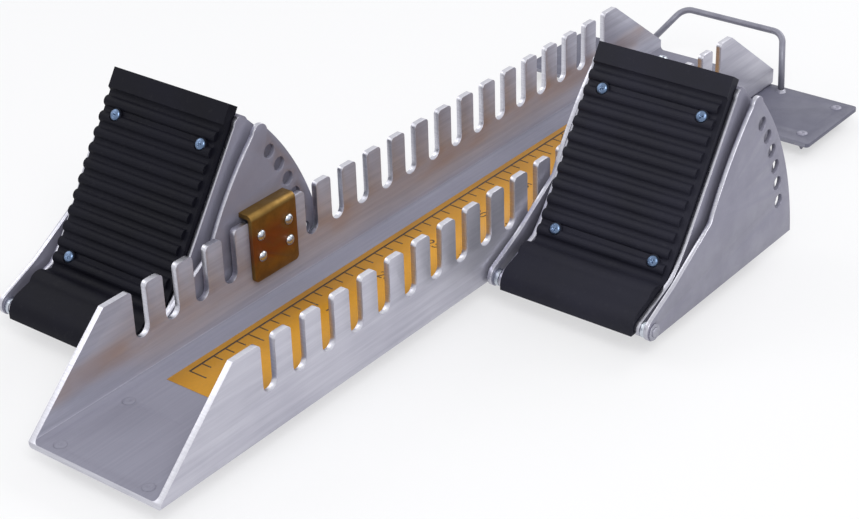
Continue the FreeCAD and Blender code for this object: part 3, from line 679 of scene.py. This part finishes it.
def pad_profile(ribbed):
    """Side view of the rubber from its lip, over the toe, up the ribs, over the top and down the back."""
    band = RIB_START + RIB_COUNT * RIB_PITCH
    length = (PAD_TOP - PAD_BOTTOM).length
    points = [Vector((PAD_TOE_NOSE.x, PAD_LIP_Z)), PAD_TOE_NOSE]
    points += arc_points(PAD_TOE_NOSE, PAD_TOE_ROLL, PAD_TOE_SHOULDER, 10) + [PAD_TOE_GROOVE]
    points += arc_points(PAD_TOE_GROOVE, PAD_TOE_RIB, PAD_TOE_RIB_END, 8) + [on_front(0, -RIB_HEIGHT)]
    for rib in range(RIB_COUNT if ribbed else 0):
        start = RIB_START + rib * RIB_PITCH
        foot = on_front(start, -RIB_HEIGHT)
        points.append(foot)
        points += arc_points(foot, on_front(start + RIB_CREST / 2, 0), on_front(start + RIB_CREST, -RIB_HEIGHT), 8)
    points += [on_front(band, -RIB_HEIGHT), on_front(band + BAND_SLOPE, 0), on_front(length, 0)]
    points += [on_front(length, -PAD_THICK), on_front(0, -PAD_THICK)]
    start, end = TOE_WRAP
    tube = [math.radians(start + (end - start) * i / 8) for i in range(9)]
    points += [Vector((TOE_TUBE_R * math.cos(t), AXLE_Z + TOE_TUBE_R * math.sin(t))) for t in tube]
    return points


def profile_slab(points, x0, x1, name):
    """Extrudes a closed side view across the pedal."""
    bm = bmesh.new()
    verts = [bm.verts.new((x0 * MM, p.x * MM, p.y * MM)) for p in points]
    face = bm.faces.new(verts)
    grown = bmesh.ops.extrude_face_region(bm, geom=[face])["geom"]
    moved = [v for v in grown if isinstance(v, bmesh.types.BMVert)]
    bmesh.ops.translate(bm, verts=moved, vec=((x1 - x0) * MM, 0, 0))
    return new_mesh(bm, name)


def rubber_pad(side, axle_y):
    node = side + "_rubber_pad"
    low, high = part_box(node)
    left, right = low.x / MM, high.x / MM
    ribbed = profile_slab(pad_profile(True), left, right - PAD_STRIP, node + "_moulded")
    plain = profile_slab(pad_profile(False), right - PAD_STRIP, right, node + "_strip")
    bosses = []
    for start, end in screw_seats(side):
        stand = turned_to(end - start, start - Vector((0, axle_y, 0)))
        hole = group_of(lathe([(0, -2.2), (SEAT_R, -2.2), (SEAT_R, 12), (0, 12)], 36), [stand], "hole")
        combine(ribbed, hole, "DIFFERENCE")
        bosses.append(stand)
    boss = group_of(lathe([(0, -2.4), (SEAT_R, -2.4), (SEAT_R, 0), (2, 0), (2, -2.4)], 36), bosses, "boss")
    bm = bmesh.new()
    for piece in (ribbed, plain, boss):
        bm.from_mesh(piece.data)
    bm.to_mesh(ribbed.data)
    bm.free()
    for piece in (plain, boss):
        bpy.data.objects.remove(piece)
    ribbed.data.transform(Matrix.Translation((0, axle_y, 0)))
    # The left pad gets the painted-shade rubber and the right pad the painted-light one.
    put(ribbed, side + "_foot", [node], "rubber", RUBBER_LIT_AND_SHADED[side])
    return round_edges(ribbed, 0.5, 2, 40)


def screw_axis():
    return Vector((0, PAD_OUT.x, PAD_OUT.y))


def screw_seats(side):
    """Where each pad screw's head sits, and a point further out on its axis."""
    axis = screw_axis()
    seats = []
    for points in solids(side + "_pad_screws"):
        low, high = line_of(points, axis)
        seats.append((high - axis * SCREW_HEAD_H * MM, high + axis * 5 * MM))
    return seats


CROSS_TOP = (2.3, 0.575, 2.5)
CROSS_FOOT = (0.8, 0.345, 0.5)


def cross_recess():
    """A cutter for a cross-head: one tapered cross, each end (half length, half width, height)."""
    bm = bmesh.new()
    ends = []
    for reach, half, height in (CROSS_TOP, CROSS_FOOT):
        ring = []
        for turn in range(4):
            quarter = Matrix.Rotation(turn * math.pi / 2, 3, "Z")
            ring += [bm.verts.new(quarter @ Vector(corner) * MM)
                     for corner in ((reach, -half, height), (reach, half, height), (half, half, height))]
        ends.append(ring)
        bm.faces.new(ring)
    for index in range(12):
        after = (index + 1) % 12
        bm.faces.new((ends[0][index], ends[0][after], ends[1][after], ends[1][index]))
    return new_mesh(bm, "recess")


def screw_head():
    """A pan head with a cross recess, its shank below."""
    profile = [(0, 1.75), (1.6, 1.7), (2.7, 1.5), (3.4, 1.1), (3.75, 0.5), (3.7, 0), (2.0, 0), (2.0, -10), (0, -10)]
    head = plain_mesh(lathe(profile, 40), "head")
    combine(head, cross_recess(), "DIFFERENCE")
    bm = bmesh.new()
    bm.from_mesh(head.data)
    bpy.data.objects.remove(head)
    return bm


def pad_fasteners(side):
    axis = screw_axis()
    seats = screw_seats(side)
    placements = [turned_to(axis, seat) @ Matrix.Rotation(0.5 + 0.9 * i, 4, "Z") for i, (seat, out) in enumerate(seats)]
    screws = group_of(screw_head(), placements, side + "_pad_screws_turned")
    put(screws, side + "_foot", [side + "_pad_screws"], "plated_steel", BLUE_ZINC)
    round_edges(screws, 0.12, 1, 45)
    nuts = copy_of(side + "_pad_nuts")
    put(nuts, side + "_foot", [side + "_pad_nuts"], "plated_steel", ZINC)
    round_edges(nuts, 0.25)


def rivets(side, body):
    """Domed rivet heads on the hook bracket and behind the cheek."""
    node = side + "_hook_rivets"
    axis = Vector((1, 0, 0))
    inward = 1 if side == "left" else -1
    bm = bmesh.new()
    for points in solids(node):
        low, high = line_of(points, axis)
        length = (high - low).length / MM
        shape = lathe([(0, length + 0.35), (1.3, length + 0.2), (2.5, length - 0.35), (3.3, length - 1.1),
                       (3.6, length - 1.8), (2.0, length - 1.8), (2.0, 1.8), (3.6, 1.8), (3.3, 1.1), (2.5, 0.5),
                       (1.3, 0.1), (0, 0)], 32)
        foot = low if inward > 0 else high
        merge_into(bm, shape, turned_to(axis * inward, foot))
        shape.free()
    piece = plain_mesh(bm, node + "_set")
    return put(piece, body, [node], "plated_steel", ZINC)


SPRING_WIRE_R = 0.7
SPRING_TURNS = 7


def spring(side, body):
    """The coil between the lock pins' grips."""
    node = side + "_lock_spring"
    low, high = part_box(node)
    middle = (low + high) / 2
    wire = SPRING_WIRE_R * MM
    radius = (high.z - low.z) / 2 - wire
    turns = SPRING_TURNS
    steps = 16 * turns
    curve = bpy.data.curves.new(node, "CURVE")
    curve.dimensions = "3D"
    curve.bevel_depth = wire
    curve.bevel_resolution = 3
    spline = curve.splines.new("POLY")
    spline.points.add(steps)
    for i, point in enumerate(spline.points):
        turn = math.tau * turns * i / steps
        x = low.x + wire + (high.x - low.x - 2 * wire) * i / steps
        point.co = (x, middle.y + radius * math.cos(turn), middle.z + radius * math.sin(turn), 1)
    curve.use_fill_caps = True
    holder = bpy.data.objects.new("coil", curve)
    bpy.context.scene.collection.objects.link(holder)
    bpy.context.view_layer.update()
    data = bpy.data.meshes.new_from_object(holder.evaluated_get(bpy.context.evaluated_depsgraph_get()))
    bpy.data.objects.remove(holder)
    piece = bpy.data.objects.new(node + "_coil", data)
    bpy.context.scene.collection.objects.link(piece)
    return put(piece, body, [node], "spring_steel", SPRING)


def in_lock_hole(polygon, axle_y):
    """True for the walls of the lock holes, which stay dark."""
    for index in range(LOCK_HOLES):
        turn = math.radians(LOCK_FIRST_DEG + LOCK_STEP_DEG * index)
        y = polygon.center.y - axle_y - LOCK_ARC_R * math.cos(turn) * MM
        z = polygon.center.z - (AXLE_Z + LOCK_ARC_R * math.sin(turn)) * MM
        if math.hypot(y, z) < (LOCK_HOLE_R + 0.3) * MM:
            return True
    return False


def between_foot_cheeks(polygon):
    """The foot plate's face and toe tube, which aren't cut edges."""
    inner, outer = FOOT_PLATE_X
    return inner < abs(polygon.center.x) * 1000 < outer


def copied(node, body, slot, material, edge_mm):
    piece = copy_of(node)
    put(piece, body, [node], slot, material)
    return round_edges(piece, edge_mm)


def pedal(side):
    holder = side + "_frame"
    foot = side + "_foot"
    low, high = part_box(side + "_toe_axle")
    axle_y = (low.y + high.y) / 2
    for name in ("frame_cheek_rail", "frame_cheek_far"):
        sheet_piece(f"{side}_{name}", holder, "cheek_steel", CHEEK_FACE, CHEEK_CUT, 0.35,
                    lambda polygon: in_lock_hole(polygon, axle_y))
    sheet_piece(side + "_foot_plate", foot, "cheek_steel", CHEEK_FACE, CHEEK_CUT, 0.35, between_foot_cheeks)
    copied(side + "_frame_base", holder, "cheek_steel", CHEEK_FACE, 0.3)
    copied(side + "_toe_axle", holder, "plated_steel", DULL_ZINC, 0.2)
    copied(side + "_axle_clips", holder, "plated_steel", DULL_ZINC, 0.2)
    copied(side + "_axle_washers", holder, "plated_steel", ZINC, 0.2)
    copied(side + "_hook_bracket", holder, "yellow_zinc", GOLD, 0.3)
    copied(side + "_hook_lugs", holder, "plated_steel", ZINC, 0.4)
    rivets(side, holder)
    rubber_pad(side, axle_y)
    pad_fasteners(side)
    copied(side + "_lock_sleeves", foot, "plated_steel", ZINC, 0.3)
    copied(side + "_lock_pin_far", side + "_far_pin", "plated_steel", ZINC, 0.2)
    copied(side + "_lock_pin_rail", side + "_rail_pin", "plated_steel", ZINC, 0.2)
    spring(side, foot)


for side in SIDES:
    pedal(side)


# Floor, light and camera

FLOOR_WHITE = 0.55


def seen_directly(tree):
    """1 for rays from the camera or off a mirror-like surface, 0 for the rest."""
    path = tree.nodes.new("ShaderNodeLightPath")
    camera_or_glossy = math_of(tree, "MAXIMUM", path.outputs["Is Camera Ray"], path.outputs["Is Glossy Ray"])
    return math_of(tree, "MAXIMUM", camera_or_glossy, path.outputs["Is Transmission Ray"])


def stage():
    """A white floor whose shadows stay faint, because part of what is seen of it is plain white."""
    low, high = cad_box
    bm = bmesh.new()
    bmesh.ops.create_grid(bm, x_segments=1, y_segments=1, size=6.0)
    bmesh.ops.translate(bm, verts=bm.verts, vec=(0, 0, low.z - 0.0004))
    floor = new_mesh(bm, "floor")
    material, tree, shader, _ = new_material("floor_white")
    shader.inputs["Base Color"].default_value = (0.90, 0.90, 0.90, 1)
    shader.inputs["Roughness"].default_value = 0.9
    white = add_node(tree, "ShaderNodeEmission", Color=(1, 1, 1, 1), Strength=1.0)
    share = math_of(tree, "MULTIPLY", seen_directly(tree), FLOOR_WHITE)
    mix = add_node(tree, "ShaderNodeMixShader", i0=share)
    tree.links.new(shader.outputs[0], mix.inputs[1])
    tree.links.new(white.outputs[0], mix.inputs[2])
    tree.links.new(mix.outputs[0], tree.nodes["Material Output"].inputs["Surface"])
    floor.data.materials.append(material)


def lamp(name, place, aim, size, power, colour=(1, 1, 1)):
    light = bpy.data.lights.new(name, "AREA")
    light.energy = power
    light.color = colour
    light.shape = "RECTANGLE"
    light.size, light.size_y = size
    holder = bpy.data.objects.new(name, light)
    holder.location = place
    holder.rotation_mode = "QUATERNION"
    holder.rotation_quaternion = (Vector(aim) - Vector(place)).to_track_quat("-Z", "Y")
    bpy.context.scene.collection.objects.link(holder)


def world():
    surroundings = bpy.data.worlds.new("studio")
    bpy.context.scene.world = surroundings
    surroundings.use_nodes = True
    tree = surroundings.node_tree
    back = tree.nodes["Background"]
    back.inputs["Color"].default_value = (0.93, 0.94, 1.0, 1)
    back.inputs["Strength"].default_value = 0.55
    white = add_node(tree, "ShaderNodeBackground", Color=(1, 1, 1, 1), Strength=1.0)
    mix = add_node(tree, "ShaderNodeMixShader", i0=seen_directly(tree))
    tree.links.new(back.outputs[0], mix.inputs[1])
    tree.links.new(white.outputs[0], mix.inputs[2])
    tree.links.new(mix.outputs[0], tree.nodes["World Output"].inputs["Surface"])


CAMERA_PLACE = Vector((0.7020, -0.9086, 0.6378))
CAMERA_AZIMUTH = math.radians(-38.37)
CAMERA_ELEVATION = math.radians(29.62)
CAMERA_ROLL = math.radians(-1.71)
PHOTO_WIDTH = 859
FOCAL_PIXELS = 2020.0
VIEW_SHIFT = -6.0


def camera():
    azimuth, elevation = CAMERA_AZIMUTH, CAMERA_ELEVATION
    ahead = Vector((math.sin(azimuth) * math.cos(elevation), math.cos(azimuth) * math.cos(elevation),
                    -math.sin(elevation)))
    right = Vector((math.cos(azimuth), -math.sin(azimuth), 0))
    above = right.cross(ahead)
    rolled_right = math.cos(CAMERA_ROLL) * right + math.sin(CAMERA_ROLL) * above
    rolled_up = math.cos(CAMERA_ROLL) * above - math.sin(CAMERA_ROLL) * right
    data = bpy.data.cameras.new("camera")
    data.sensor_width = 36.0
    data.lens = FOCAL_PIXELS * data.sensor_width / PHOTO_WIDTH
    data.shift_x = VIEW_SHIFT / PHOTO_WIDTH
    data.clip_start = 0.05
    holder = bpy.data.objects.new("camera", data)
    turn = Matrix((rolled_right, rolled_up, -ahead)).transposed().to_4x4()
    holder.matrix_world = Matrix.Translation(CAMERA_PLACE) @ turn
    bpy.context.scene.collection.objects.link(holder)
    bpy.context.scene.camera = holder


stage()
world()
lamp("key", (1.2, -1.1, 1.8), (0.05, 0, 0), (1.3, 1.3), 28.0)
lamp("fill", (-1.6, -0.6, 1.3), (0, 0, 0), (1.4, 1.2), 7.0)
lamp("back", (0.3, 1.7, 1.3), (0, 0, 0.05), (1.6, 0.8), 12.0)
camera()

bpy.context.scene.view_settings.view_transform = "Standard"
